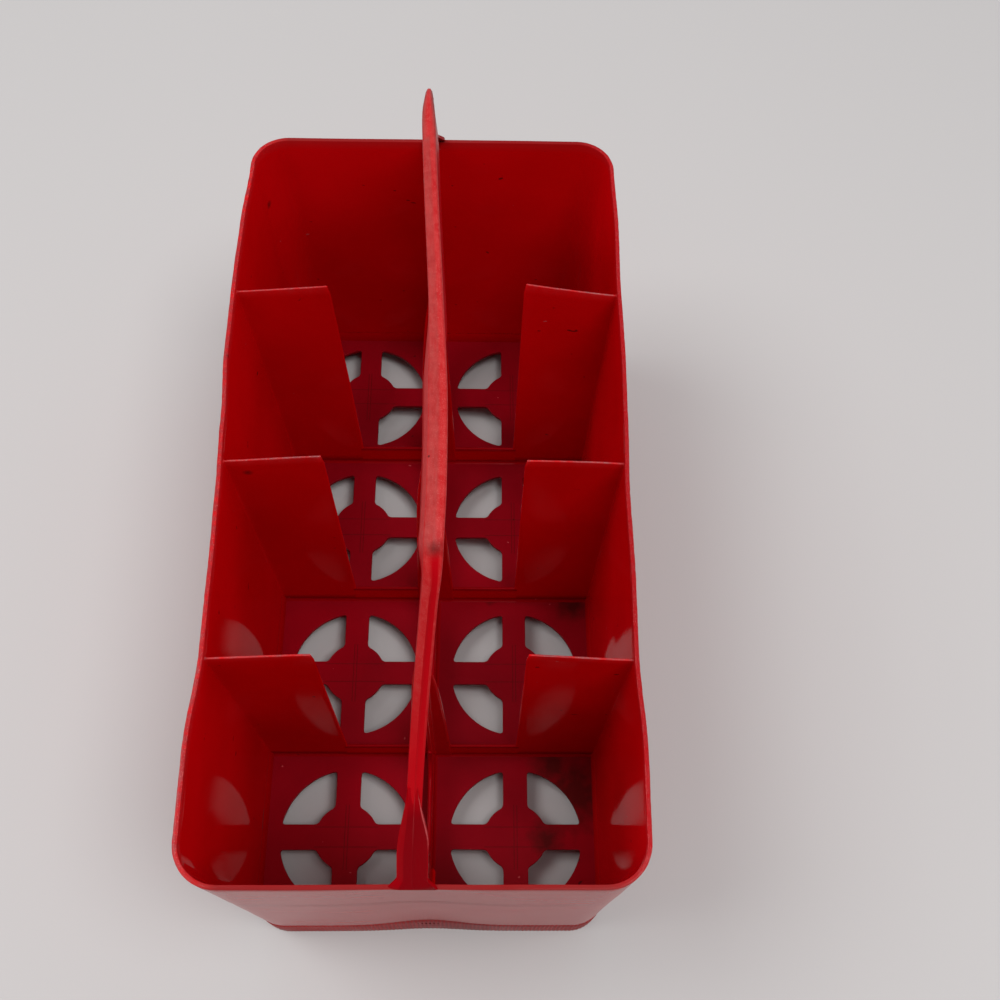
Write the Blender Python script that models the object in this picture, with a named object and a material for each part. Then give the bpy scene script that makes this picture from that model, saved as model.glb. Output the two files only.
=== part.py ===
"""Eight-bottle hand carrier: an open moulded box of two by four cells with a fixed arched handle.

Metres, +Z up. X runs across the box, Y along it, and the front end is at -Y. The origin is the middle
of the box at the level of the surface that it stands on.
"""

import math

import bpy
import bmesh

# Box
CELL_PITCH = 0.070
ROWS = 4
WALL = 0.0015
WALL_DRAFT = 0.00075
RIM_HEIGHT = 0.1515
CORNER_RADIUS = 0.014

# Sideways bow of the long walls at the rim, out over the back cells and in over the front ones
BACK_BOW = 0.00195
FRONT_BOW = 0.0015

# Ribbed foot band, which stands a little inside the walls above it
BAND_HEIGHT = 0.020
BAND_STEP = 0.0004

# Floor of each cell: a hub on four bars inside a round opening
FLOOR_LIFT = 0.010
FLOOR_THICKNESS = 0.002
FLOOR_OPENING_RADIUS = 0.0274
FLOOR_HUB_RADIUS = 0.013
FLOOR_BAR_WIDTH = 0.0102

# Cross dividers and the low rib between each pair
DIVIDER_THICKNESS = 0.0012
DIVIDER_OPENING = 0.070
DIVIDER_CORNER_RADIUS = 0.004
CROSS_RIB_THICKNESS = 0.0016
CROSS_RIB_HEIGHT = 0.013

# Lengthwise web: low ribs, cross-shaped posts and a gusset at each end wall
WEB_THICKNESS = 0.0022
CENTRE_RIB_HEIGHT = 0.023
CENTRE_RIB_FILLET = 0.009
POST_FOOT_REACH = 0.0082
POST_TOP_REACH = 0.004
POST_FIN_THICKNESS = 0.0018

# Handle: two sloping legs of T section and a straight grip, which rise above the rim
HANDLE_RISE = 0.094
GRIP_CORNER_REACH = 0.074
HANDLE_DEPTH = 0.019
SHOULDER_INNER_RADIUS = 0.003
LEG_FLANGE_WIDTH = 0.0046
LEG_FLANGE_DEPTH = 0.005
LEG_WEB_WIDTH = 0.0026
GRIP_FRONT_WIDTH = 0.0060
GRIP_BACK_WIDTH = 0.0046
GRIP_ROUNDING = 0.0014
FOOT_HEIGHT = 0.0245
FOOT_NECK_HEIGHT = 0.012
FOOT_NECK_WIDTH = 0.0094
FOOT_FLARE_HEIGHT = 0.0035
FOOT_FLARE_WIDTH = 0.0145

# Sideways lean that years of carrying have put in the handle, zero at the rim
FRONT_LEAN = 0.0082
BACK_LEAN = 0.0030
LEAN_POWER = 1.5

# Space left between neighbouring pieces, and the softened edge of a moulded rib
SEAM = 0.0003
EDGE_SOFTENING = 0.00025
CUTTER_OVERRUN = 0.001

CORNER_STEPS = 8
BOW_STEPS = 4
HOLE_STEPS = 8
HUB_STEPS = 4
FILLET_STEPS = 4
FILLET_END = math.radians(25)
SHOULDER_STEPS = 6

COLUMNS = 2
HALF_WIDTH = COLUMNS * CELL_PITCH / 2 + WALL / 2
HALF_LENGTH = ROWS * CELL_PITCH / 2 + WALL / 2
CORNER_X = HALF_WIDTH - CORNER_RADIUS
CORNER_Y = HALF_LENGTH - CORNER_RADIUS
FLOOR_TOP = FLOOR_LIFT + FLOOR_THICKNESS
HANDLE_HEIGHT = RIM_HEIGHT + HANDLE_RISE
INSIDE_BOTTOM = FLOOR_TOP + SEAM
SHOULDER_RADIUS = HANDLE_DEPTH + SHOULDER_INNER_RADIUS

RED = (0.52, 0.004, 0.012, 1.0)
CRIMSON = (0.33, 0.003, 0.016, 1.0)
WORN_RED = (0.56, 0.030, 0.035, 1.0)


def clear_scene():
    for obj in list(bpy.data.objects):
        bpy.data.objects.remove(obj, do_unlink=True)


def plastic(name, colour, roughness):
    material = bpy.data.materials.new(name + "_plastic")
    material.use_nodes = True
    shader = material.node_tree.nodes["Principled BSDF"]
    shader.inputs["Base Color"].default_value = colour
    shader.inputs["Roughness"].default_value = roughness
    shader.inputs["Metallic"].default_value = 0.0
    material.diffuse_color = colour
    return material


def loft(name, rings, colour=RED, roughness=0.3, soften=False, smooth=False):
    """A closed solid through rings of as many points each, its first and last rings capped."""
    mesh = bpy.data.meshes.new(name)
    shape = bmesh.new()
    loops = [[shape.verts.new(point) for point in ring] for ring in rings]
    for lower, upper in zip(loops, loops[1:]):
        for i, start in enumerate(lower):
            j = (i + 1) % len(lower)
            shape.faces.new((start, lower[j], upper[j], upper[i]))
    shape.faces.new(reversed(loops[0]))
    shape.faces.new(loops[-1])
    bmesh.ops.recalc_face_normals(shape, faces=shape.faces)
    shape.to_mesh(mesh)
    shape.free()
    if smooth:
        mesh.shade_smooth()
        mesh.set_sharp_from_angle(angle=math.radians(30))
    obj = bpy.data.objects.new(name, mesh)
    bpy.context.scene.collection.objects.link(obj)
    obj.data.materials.append(plastic(name, colour, roughness))
    if soften:
        edge = obj.modifiers.new("soft_edges", "BEVEL")
        edge.width = EDGE_SOFTENING
        edge.segments = 1
        edge.limit_method = "ANGLE"
    return obj


def half_width(z):
    """From the middle to the outer face of a side wall, which leans in towards the foot."""
    return HALF_WIDTH - WALL_DRAFT * (1 - z / RIM_HEIGHT)


def half_length(z):
    return HALF_LENGTH - WALL_DRAFT * (1 - z / RIM_HEIGHT)


def corner_radius(z):
    return CORNER_RADIUS - WALL_DRAFT * (1 - z / RIM_HEIGHT)


def side_bow(y, z):
    """How far use has bowed a side wall outwards at a place on it, zero at the floor and the corners."""
    most = BACK_BOW if y > 0 else FRONT_BOW
    rise = max(0.0, (z - FLOOR_TOP) / (RIM_HEIGHT - FLOOR_TOP))
    return most * math.sin(math.pi * y / CORNER_Y) * rise


def arc(centre, radius, start, end, steps):
    return [
        (
            centre[0] + radius * math.cos(start + (end - start) * i / steps),
            centre[1] + radius * math.sin(start + (end - start) * i / steps),
        )
        for i in range(steps + 1)
    ]


def end_wall(name, side, bottom, top, step):
    """A straight front or back wall between two heights, its outer face set back by step."""
    reach = CORNER_X - SEAM / 2
    rings = []
    for z in (bottom, top):
        outer = half_length(z) - step
        inner = half_length(z) - WALL
        rings.append([(x, side * y, z) for x, y in
                      ((-reach, outer), (reach, outer), (reach, inner), (-reach, inner))])
    loft(name, rings)


def side_wall(name, side, start, end):
    """The length of a long wall that belongs to one cell, bowed along it."""
    near, far = start + SEAM / 2, end - SEAM / 2
    stations = [near + (far - near) * i / BOW_STEPS for i in range(BOW_STEPS + 1)]
    rings = []
    for z in (BAND_HEIGHT + SEAM, RIM_HEIGHT):
        outer = [(half_width(z) + side_bow(y, z), y) for y in stations]
        inner = [(x - WALL, y) for x, y in reversed(outer)]
        rings.append([(side * x, y, z) for x, y in outer + inner])
    loft(name, rings, smooth=True)


def side_band(name, side):
    reach = CORNER_Y - SEAM / 2
    rings = []
    for z in (0, BAND_HEIGHT):
        outer, inner = half_width(z) - BAND_STEP, half_width(z) - WALL
        rings.append([(side * x, y, z) for x, y in
                      ((outer, -reach), (outer, reach), (inner, reach), (inner, -reach))])
    loft(name, rings)


def corner_wall(name, side_x, side_y, bottom, top, step):
    """A rounded corner, which ends half a seam short of the straight walls beside it."""
    rings = []
    for z in (bottom, top):
        radius = corner_radius(z)
        trim = SEAM / 2 / radius
        outer = arc((CORNER_X, CORNER_Y), radius - step, trim, math.pi / 2 - trim, CORNER_STEPS)
        inner = arc((CORNER_X, CORNER_Y), radius - WALL, trim, math.pi / 2 - trim, CORNER_STEPS)
        rings.append([(side_x * x, side_y * y, z) for x, y in outer + inner[::-1]])
    loft(name, rings, smooth=True)


def ends_and_corners(suffix, bottom, top, step):
    for side, word in ((-1, "front"), (1, "back")):
        end_wall(word + suffix, side, bottom, top, step)
    for side_y, end in ((-1, "front"), (1, "back")):
        for side_x, flank in ((-1, "left"), (1, "right")):
            corner_wall(f"{end}_{flank}_corner{suffix}", side_x, side_y, bottom, top, step)


def opening_outline():
    """One quarter of a cell's round opening, between its bars, hub and rim."""
    bar = FLOOR_BAR_WIDTH / 2
    rim_start = math.asin(bar / FLOOR_OPENING_RADIUS)
    hub_start = math.asin(bar / FLOOR_HUB_RADIUS)
    rim = arc((0, 0), FLOOR_OPENING_RADIUS, rim_start, math.pi / 2 - rim_start, HOLE_STEPS)
    hub = arc((0, 0), FLOOR_HUB_RADIUS, hub_start, math.pi / 2 - hub_start, HUB_STEPS)
    return rim + hub[::-1]


def opening_cutters(name, centre_x, centre_y):
    """Four prisms in one helper, which cut the four openings of a cell's floor."""
    mesh = bpy.data.meshes.new(name)
    shape = bmesh.new()
    bottom = FLOOR_LIFT - CUTTER_OVERRUN
    for side_x in (-1, 1):
        for side_y in (-1, 1):
            ring = [(centre_x + side_x * x, centre_y + side_y * y, bottom) for x, y in opening_outline()]
            face = shape.faces.new([shape.verts.new(point) for point in ring])
            grown = bmesh.ops.extrude_face_region(shape, geom=[face])
            raised = [item for item in grown["geom"] if isinstance(item, bmesh.types.BMVert)]
            rise = FLOOR_THICKNESS + 2 * CUTTER_OVERRUN
            bmesh.ops.translate(shape, verts=raised, vec=(0, 0, rise))
    bmesh.ops.recalc_face_normals(shape, faces=shape.faces)
    shape.to_mesh(mesh)
    shape.free()
    cutter = bpy.data.objects.new(name, mesh)
    bpy.context.scene.collection.objects.link(cutter)
    cutter.hide_render = True
    cutter.display_type = "WIRE"
    return cutter


def floor_outline(row, z):
    """A cell's floor seen from above, in the +X column, from the web to the side wall."""
    centre_y = row_centre(row)
    near, far = centre_y - CELL_PITCH / 2 + SEAM / 2, centre_y + CELL_PITCH / 2 - SEAM / 2
    inner_x = half_width(z) - WALL - SEAM
    inner_y = half_length(z) - WALL - SEAM
    radius = corner_radius(z) - WALL - SEAM
    if row == 0:
        corner = arc((CORNER_X, -CORNER_Y), radius, -math.pi / 2, 0, CORNER_STEPS)
        return [(SEAM / 2, -inner_y)] + corner + [(inner_x, far), (SEAM / 2, far)]
    if row == ROWS - 1:
        corner = arc((CORNER_X, CORNER_Y), radius, 0, math.pi / 2, CORNER_STEPS)
        return [(SEAM / 2, near), (inner_x, near)] + corner + [(SEAM / 2, inner_y)]
    return [(SEAM / 2, near), (inner_x, near), (inner_x, far), (SEAM / 2, far)]


def row_centre(row):
    return (row - (ROWS - 1) / 2) * CELL_PITCH


def cell_floor(name, side, row):
    rings = [[(side * x, y, z) for x, y in floor_outline(row, z)] for z in (FLOOR_LIFT, FLOOR_TOP)]
    obj = loft(name, rings, CRIMSON, 0.35)
    cut = obj.modifiers.new("openings", "BOOLEAN")
    cut.object = opening_cutters("cut_" + name, side * CELL_PITCH / 2, row_centre(row))
    cut.operation = "DIFFERENCE"
    cut.solver = "EXACT"


def divider(name, side, plane_y):
    """An upright plate from a side wall to the middle of the cell, full height, drawn along by the wall."""
    edge = DIVIDER_OPENING / 2
    radius = DIVIDER_CORNER_RADIUS
    rounded = arc((edge + radius, RIM_HEIGHT - radius), radius, math.pi, math.pi / 2, HUB_STEPS)
    outline = [(half_width(z) - WALL - SEAM, z) for z in (RIM_HEIGHT, INSIDE_BOTTOM)]
    outline += [(edge, INSIDE_BOTTOM)] + rounded
    rings = []
    for face in (-1, 1):
        y = plane_y + face * DIVIDER_THICKNESS / 2
        rings.append([(side * (x + side_bow(plane_y, z)), y, z) for x, z in outline])
    loft(name, rings, soften=True)


def post_reach(z):
    share = (z - FLOOR_TOP) / (RIM_HEIGHT - FLOOR_TOP)
    return POST_FOOT_REACH + (POST_TOP_REACH - POST_FOOT_REACH) * share


def cross_rib(name, side, plane_y):
    """A low straight rib on the floor, from a post to the divider's inner edge."""
    near = side * (POST_FOOT_REACH + SEAM)
    far = side * (DIVIDER_OPENING / 2 - SEAM)
    front, back = plane_y - CROSS_RIB_THICKNESS / 2, plane_y + CROSS_RIB_THICKNESS / 2
    outline = ((near, front), (far, front), (far, back), (near, back))
    rings = [[(x, y, z) for x, y in outline] for z in (INSIDE_BOTTOM, FLOOR_TOP + CROSS_RIB_HEIGHT)]
    loft(name, rings, soften=True)


def centre_post(name, plane_y):
    """Four fins that taper towards the rim, in the planes of the web and of the dividers."""
    across, along = POST_FIN_THICKNESS / 2, WEB_THICKNESS / 2
    rings = []
    for z in (INSIDE_BOTTOM, RIM_HEIGHT):
        reach = post_reach(z)
        quarter = ((reach, across), (along, across), (along, reach))
        ring = []
        for turn in ((1, 1), (-1, 1), (-1, -1), (1, -1)):
            points = quarter if turn[0] * turn[1] > 0 else quarter[::-1]
            ring += [(turn[0] * x, plane_y + turn[1] * y, z) for x, y in points]
        rings.append(ring)
    loft(name, rings, soften=True)


def leg_slope():
    return math.atan2(HANDLE_RISE, HALF_LENGTH - GRIP_CORNER_REACH)


def leg_edges(z):
    """Distances from the middle to the leg's outer and inner edges at a height."""
    outer = HALF_LENGTH - (z - RIM_HEIGHT) / math.tan(leg_slope())
    return outer, outer - HANDLE_DEPTH / math.sin(leg_slope())


def gusset(name, side):
    """The web's end strip, up the end wall and as deep as the leg that stands on it."""
    wall_foot = half_length(INSIDE_BOTTOM) - WALL - SEAM
    wall_top = half_length(RIM_HEIGHT) - WALL - SEAM
    inner = leg_edges(RIM_HEIGHT)[1]
    half = WEB_THICKNESS / 2
    outline = [(wall_foot, INSIDE_BOTTOM), (inner, INSIDE_BOTTOM)]
    outline += [(inner, RIM_HEIGHT), (wall_top, RIM_HEIGHT)]
    loft(name, [[(x, side * y, z) for y, z in outline] for x in (-half, half)], soften=True)


def rib_end(upright_y, side, z):
    """Where a rib stops at a height, short of the post or the gusset's edge that it meets."""
    reach = post_reach(z) if abs(upright_y) < leg_edges(RIM_HEIGHT)[1] else 0
    return upright_y + side * (reach + SEAM)


def centre_rib(name, start, end):
    """A low rib, filleted up at both ends into the uprights that it runs between."""
    radius = CENTRE_RIB_FILLET
    arc_z = FLOOR_TOP + CENTRE_RIB_HEIGHT + radius
    peak = arc_z - radius * math.sin(FILLET_END)
    first, last = rib_end(start, 1, peak), rib_end(end, -1, peak)
    outline = [(first, peak), (rib_end(start, 1, INSIDE_BOTTOM), INSIDE_BOTTOM)]
    outline += [(rib_end(end, -1, INSIDE_BOTTOM), INSIDE_BOTTOM), (last, peak)]
    outline += arc((last - radius, arc_z), radius, -FILLET_END, -math.pi / 2, FILLET_STEPS)
    outline += arc((first + radius, arc_z), radius, -math.pi / 2, FILLET_END - math.pi, FILLET_STEPS)
    half = WEB_THICKNESS / 2
    loft(name, [[(x, y, z) for y, z in outline] for x in (-half, half)])


def lean(y, z):
    """Sideways shift of the handle at a place on it."""
    share = min(1.0, max(0.0, (y + GRIP_CORNER_REACH) / (2 * GRIP_CORNER_REACH)))
    most = FRONT_LEAN + (BACK_LEAN - FRONT_LEAN) * share
    rise = max(0.0, (z - RIM_HEIGHT) / HANDLE_RISE)
    return most * rise**LEAN_POWER


def tee_ring(outer, inner, flange_width):
    """A T section between an outer and an inner point (y, z), with its flange along the outer edge."""
    flange, web = flange_width / 2, LEG_WEB_WIDTH / 2
    edge = LEG_FLANGE_DEPTH / HANDLE_DEPTH
    ring = []
    for x, share in ((-flange, 0), (flange, 0), (flange, edge), (web, edge),
                     (web, 1), (-web, 1), (-web, edge), (-flange, edge)):
        y = outer[0] + (inner[0] - outer[0]) * share
        z = outer[1] + (inner[1] - outer[1]) * share
        ring.append((x + lean(y, z), y, z))
    return ring


def level_ring(side, z, flange_width):
    outer, inner = leg_edges(z)
    return tee_ring((side * outer, z), (side * inner, z), flange_width)


def foot(name, side):
    """The flared lower end of a leg, on the rim of the end wall and on the gusset."""
    start = RIM_HEIGHT + SEAM
    stages = (
        (start, FOOT_FLARE_WIDTH),
        (RIM_HEIGHT + FOOT_FLARE_HEIGHT, FOOT_NECK_WIDTH),
        (RIM_HEIGHT + FOOT_NECK_HEIGHT, FOOT_NECK_WIDTH),
        (RIM_HEIGHT + FOOT_HEIGHT, LEG_FLANGE_WIDTH),
    )
    loft(name, [level_ring(side, z, width) for z, width in stages])


def shoulder_centre():
    """The bend's centre (y, z), on the back half of the handle."""
    back = SHOULDER_RADIUS * math.tan(leg_slope() / 2)
    return GRIP_CORNER_REACH - back, HANDLE_HEIGHT - SHOULDER_RADIUS


def leg(name, side):
    """A sloping leg with the bend at its top, up to the end of the grip."""
    centre_y, centre_z = shoulder_centre()
    rings = [level_ring(side, RIM_HEIGHT + FOOT_HEIGHT + SEAM, LEG_FLANGE_WIDTH)]
    end = math.pi / 2 - SEAM / SHOULDER_RADIUS
    start = math.pi / 2 - leg_slope()
    for i in range(SHOULDER_STEPS + 1):
        angle = start + (end - start) * i / SHOULDER_STEPS
        outer, inner = (
            (side * (centre_y + radius * math.cos(angle)), centre_z + radius * math.sin(angle))
            for radius in (SHOULDER_RADIUS, SHOULDER_INNER_RADIUS)
        )
        rings.append(tee_ring(outer, inner, LEG_FLANGE_WIDTH))
    loft(name, rings, WORN_RED, 0.4)


def grip(name):
    """The straight bar between the legs, with eight sides in section."""
    reach = shoulder_centre()[0]
    rings = []
    for y, width in ((-reach, GRIP_FRONT_WIDTH), (reach, GRIP_BACK_WIDTH)):
        half, cut = width / 2, GRIP_ROUNDING
        low, high = HANDLE_HEIGHT - HANDLE_DEPTH, HANDLE_HEIGHT
        section = ((-half + cut, high), (half - cut, high), (half, high - cut), (half, low + cut),
                   (half - cut, low), (-half + cut, low), (-half, low + cut), (-half, high - cut))
        rings.append([(x + lean(y, z), y, z) for x, z in section])
    loft(name, rings, WORN_RED, 0.4)


def divider_planes():
    return [row_centre(row) + CELL_PITCH / 2 for row in range(ROWS - 1)]


def build_box():
    ends_and_corners("_wall", BAND_HEIGHT + SEAM, RIM_HEIGHT, 0)
    ends_and_corners("_foot_band", 0, BAND_HEIGHT, BAND_STEP)
    uprights = [-CORNER_Y] + divider_planes() + [CORNER_Y]
    for side, word in ((-1, "left"), (1, "right")):
        side_band(word + "_foot_band", side)
        for row in range(ROWS):
            side_wall(f"{word}_wall_{row + 1}", side, uprights[row], uprights[row + 1])
            cell_floor(f"{word}_cell_floor_{row + 1}", side, row)


def build_inside():
    planes = divider_planes()
    for number, plane_y in enumerate(planes, 1):
        for side, word in ((-1, "left"), (1, "right")):
            divider(f"{word}_divider_{number}", side, plane_y)
            cross_rib(f"{word}_cross_rib_{number}", side, plane_y)
        centre_post(f"centre_post_{number}", plane_y)
    gusset_edge = leg_edges(RIM_HEIGHT)[1]
    uprights = [-gusset_edge] + planes + [gusset_edge]
    for number, (start, end) in enumerate(zip(uprights, uprights[1:]), 1):
        centre_rib(f"centre_rib_{number}", start, end)


def build_handle():
    for side, word in ((-1, "front"), (1, "back")):
        gusset(word + "_gusset", side)
        foot(word + "_handle_foot", side)
        leg(word + "_handle_leg", side)
    grip("handle_grip")


clear_scene()
build_box()
build_inside()
build_handle()
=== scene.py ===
"""Looks of the eight-bottle hand carrier: one seamless moulding in worn, glossy red polyethylene.

Metres, +Z up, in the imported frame: X runs across the box, Y along it, and the front end is at -Y.
"""

import math
from itertools import product

import bpy
import numpy as np
from mathutils import Matrix, Vector, noise


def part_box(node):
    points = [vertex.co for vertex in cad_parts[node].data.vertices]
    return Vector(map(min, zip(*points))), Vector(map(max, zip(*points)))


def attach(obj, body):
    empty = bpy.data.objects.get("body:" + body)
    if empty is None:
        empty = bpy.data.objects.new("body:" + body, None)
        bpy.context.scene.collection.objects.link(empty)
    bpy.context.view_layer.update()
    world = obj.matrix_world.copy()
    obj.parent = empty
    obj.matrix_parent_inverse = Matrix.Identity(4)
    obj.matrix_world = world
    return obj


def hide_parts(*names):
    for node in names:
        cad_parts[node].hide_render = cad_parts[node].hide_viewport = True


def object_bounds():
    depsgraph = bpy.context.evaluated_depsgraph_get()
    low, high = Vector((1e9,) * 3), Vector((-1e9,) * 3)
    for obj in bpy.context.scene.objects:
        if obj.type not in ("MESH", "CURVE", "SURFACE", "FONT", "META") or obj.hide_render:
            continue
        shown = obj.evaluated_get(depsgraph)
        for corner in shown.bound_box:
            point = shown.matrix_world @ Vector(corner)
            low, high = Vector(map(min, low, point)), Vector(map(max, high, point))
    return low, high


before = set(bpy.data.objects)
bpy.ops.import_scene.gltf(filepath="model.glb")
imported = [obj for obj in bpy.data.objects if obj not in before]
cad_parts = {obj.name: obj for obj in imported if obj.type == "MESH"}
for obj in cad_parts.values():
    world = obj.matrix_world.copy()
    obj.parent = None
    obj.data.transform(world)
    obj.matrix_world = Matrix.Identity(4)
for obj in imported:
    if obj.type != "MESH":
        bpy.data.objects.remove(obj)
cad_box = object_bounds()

# Sizes of the frame, and two of the part's source that no box tells: CENTRE_RIB_TOP and GRIP_REACH
HALF_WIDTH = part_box("front_right_corner_wall")[1].x
SIDE_REACH, HALF_LENGTH, HANDLE_TOP = cad_box[1]
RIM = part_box("front_wall")[1].z
BAND_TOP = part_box("left_foot_band")[1].z
FLOOR_BOTTOM, FLOOR_TOP = (corner.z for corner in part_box("left_cell_floor_2"))
DIVIDER_PLANES = [sum(corner.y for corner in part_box(f"left_divider_{n}")) / 2 for n in (1, 2, 3)]
CELL_PITCH = DIVIDER_PLANES[1] - DIVIDER_PLANES[0]
DIVIDER_EDGE = CELL_PITCH / 2
GUSSET_EDGE = -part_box("front_gusset")[1].y
POST_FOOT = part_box("centre_post_1")[1].x
CENTRE_RIB_TOP = 0.035
CROSS_RIB_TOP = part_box("left_cross_rib_1")[1].z
GRIP_REACH = 0.074
GRIP_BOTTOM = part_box("handle_grip")[0].z

# Box walls
CORNERS = [f"{end}_{flank}_corner" for end in ("front", "back") for flank in ("left", "right")]
WALL = 0.0015
DRAFT = 0.00075
CORNER_RADIUS = 0.014
RIM_ROUND = 0.00022
FOOT_FILLET = 0.0014
STATION = 0.002
LEDGE_HEIGHT = 0.103
LEDGE_DEPTH = 0.00012
BAND_GROOVE = 0.0006
BAND_RIB_PITCH = 0.0016
BAND_RIB_DEPTH = 0.00042

# Plates, ribs and posts inside. A divider's top dips towards its side wall and is drawn forward there.
DIVIDER_THICKNESS = 0.0012
DIVIDER_EDGE_THICKNESS = 0.0007
DIVIDER_DIP = 0.0027
DIVIDER_PULL = 0.0009
DIVIDER_CORNER = 0.0016
CROSS_RIB_THICKNESS = 0.0013
CENTRE_RIB_RISE = 0.011
WEB_THICKNESS = 0.0018
ROOT_FILLET = 0.0012
POST_TOP = 0.0037
POST_FIN = 0.0018
POST_GABLE_SLOPE = 0.17
POST_APEX = 0.0012
POST_TIP_DROP = 0.0022
POST_LEAN = (0.0004, 0.0003, 0.0012)

# Noise in the shapes, as its size and its scale, and how far it takes the top edges down
WALL_DRIFT = (0.00030, 20)
EDGE_RAGS = (0.00014, 900)
RIM_WAVES = (0.00014, 160)
RIM_BITES = (0.0004, 520)
DIVIDER_DRIFT = (0.0004, 17)
EDGE_DROP = 0.0001

# Floor openings
OPENING_RADIUS = 0.0274
HUB_RADIUS = 0.013
BAR_WIDTH = 0.0102
OPENING_CORNER = 0.0016
FLOOR_BEVEL = 0.00025

# Scores over each hub: how far the lines along the box and across it lie from the cell's middle
SCORE_ALONG = 0.00065
SCORE_ACROSS = 0.0040
SCORE_HALF_WIDTH = 0.00016

# Handle
HANDLE_DEPTH = HANDLE_TOP - GRIP_BOTTOM
LEG_SLOPE = math.atan2(HANDLE_TOP - RIM, HALF_LENGTH - GRIP_REACH)
SHOULDER_INNER = 0.003
FRONT_SHOULDER = 0.005
BACK_SHOULDER = 0.012
FRONT_LEAN = 0.0078
BACK_LEAN = 0.0028
LEAN_POWER = 1.5
GRIP_LEAN = 0.0079
GRIP_SWEEP = 0.0053
GRIP_END_PULL = 0.0006
GRIP_FRONT_TILT = 0.09
GRIP_BACK_TILT = -0.02
GRIP_SKIRT = 0.0008
GRIP_SKIRT_TOP = 0.0034
GRIP_FRONT_WIDTH = 0.0051
GRIP_BACK_WIDTH = 0.0039
LEG_WIDTH = 0.0043
WEB_WIDTH = 0.0026
FLANGE_DEPTH = 0.0042
BACK_STRETCH = 0.0013
TIP_THINNING = 0.40
# Where along the grip its changes begin and end, as shares of its reach towards the back. The pull of
# its front end counts towards the front.
GRIP_NARROWS = (-0.45, 0.05)
GRIP_STANDS_UP = (-0.3, 0.02)
GRIP_SWEEPS = (-0.61, 1.19)
GRIP_END = (0.75, 1.05)

# Feet of the handle's legs. The tapers are the heights over the rim between which a side narrows.
FOOT_NECK = 0.0091
FOOT_FLARE = 0.0145
FOOT_CURL = 0.0045
FOOT_LEFT_TAPER = (0.011, 0.032)
FOOT_RIGHT_TAPER = (0.012, 0.037)
FOOT_PLATE = 0.0007
FOOT_PROUD = 0.00025
FOOT_RUNS_OUT = 0.0006
FOOT_BEAD = 0.00022
FOOT_RIDGE = 0.00016
FOOT_PLATE_RISE = 0.0320
BACK_FOOT_RISE = 0.012
BACK_FOOT_SPREAD = 0.0024

# Shape that use has given the box: how far out each side's rim stands at evenly spaced places from its
# front corner to its back one, as shares of the CAD's own bow
LEFT_BOW_SHARES = (0, 0.2, -0.75, -0.6, -0.35, 0.1, 0.9, 1.0, 0.75, 0)
RIGHT_BOW_SHARES = (-0.1, 0.1, -0.5, -0.35, -0.5, -0.1, 0.15, 0.05, 0.3, 0)
# The bow begins and is whole at these distances from the middle line, and grows by a power of the height
BOW_FADES_IN = 0.012
BOW_FULL = 0.030
BOW_POWER = 1.3
# How far along the box each divider's free top corner is bent, from the front divider to the back one,
# for the left side and the right one
DIVIDER_BENDS = {-1: (-0.0004, 0, 0.0002), 1: (0, -0.0013, 0.0021)}
# Hollow in the middle of the front wall, deepest where the wall meets the foot band and less at the
# ground and towards the rim
SINK_DEPTH = 0.0024
SINK_REACH = 0.017

# How far one piece runs into the next, so that no gap shows
EMBED = 0.0004


def smoothly_between(y, shares):
    """A value along the box's length, eased from each of the evenly spaced shares to the next."""
    reach = HALF_LENGTH - CORNER_RADIUS
    place = np.clip((y + reach) / (2 * reach), 0, 1) * (len(shares) - 1)
    first = np.clip(place.astype(int), 0, len(shares) - 2)
    t = place - first
    ease = t * t * (3 - 2 * t)
    values = np.array(shares)
    return values[first] * (1 - ease) + values[first + 1] * ease


def settle(points):
    """Moves points of the new-made shape to the shape that use has given it."""
    moved = np.array(points, float)
    x, y, z = moved[..., 0], moved[..., 1], moved[..., 2]
    left, right = (smoothly_between(y, shares) for shares in (LEFT_BOW_SHARES, RIGHT_BOW_SHARES))
    up = np.clip((z - BAND_TOP) / (RIM - BAND_TOP), 0, 1) ** BOW_POWER
    beside = np.clip((np.abs(x) - BOW_FADES_IN) / (BOW_FULL - BOW_FADES_IN), 0, 1)
    out = np.where(x < 0, -left, right) * (SIDE_REACH - HALF_WIDTH)
    low = np.sqrt(np.clip(1 - z / RIM, 0, 1)) * (0.42 + 0.58 * np.clip(z / BAND_TOP, 0, 1))
    front = np.clip(-y / HALF_LENGTH, 0, 1) ** 8
    moved[..., 0] = x + out * up * beside
    moved[..., 1] = y + SINK_DEPTH * np.exp(-(x / SINK_REACH) ** 2) * front * low
    return moved


def ripple(points, size, scale, seed):
    """Smooth noise at each of an array of points, from -size to size."""
    flat = np.asarray(points, float).reshape(-1, 3)
    shift = Vector((seed * 7.31, seed * 3.17, seed * 5.03))
    values = [noise.noise(Vector(point) * scale + shift) for point in flat]
    return size * np.array(values).reshape(np.shape(points)[:-1])


def add_object(name, data):
    """A new object in the scene."""
    obj = bpy.data.objects.new(name, data)
    bpy.context.scene.collection.objects.link(obj)
    return obj


def piece(name, points, faces, material, slot, replaced=(), sharp=35, **marks):
    """A mesh object that rides on the body, takes a finish and stands for the nodes named. Its slot is not
    used.

    Marks give each point a value that the finish reads: worn places that also paint highlights, greying
    that also paints reflections, painted shade, and the painted shadow line in the band's groove.
    """
    mesh = bpy.data.meshes.new(name)
    mesh.from_pydata(settle(points).tolist(), [], faces)
    mesh.validate()
    mesh.materials.append(material)
    mesh.shade_smooth()
    mesh.set_sharp_from_angle(angle=math.radians(sharp))
    for mark, values in marks.items():
        mesh.attributes.new(mark, "FLOAT", "POINT").data.foreach_set("value", np.ravel(values))
    obj = add_object(name, mesh)
    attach(obj, "root")
    if replaced:
        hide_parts(*replaced)


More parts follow.
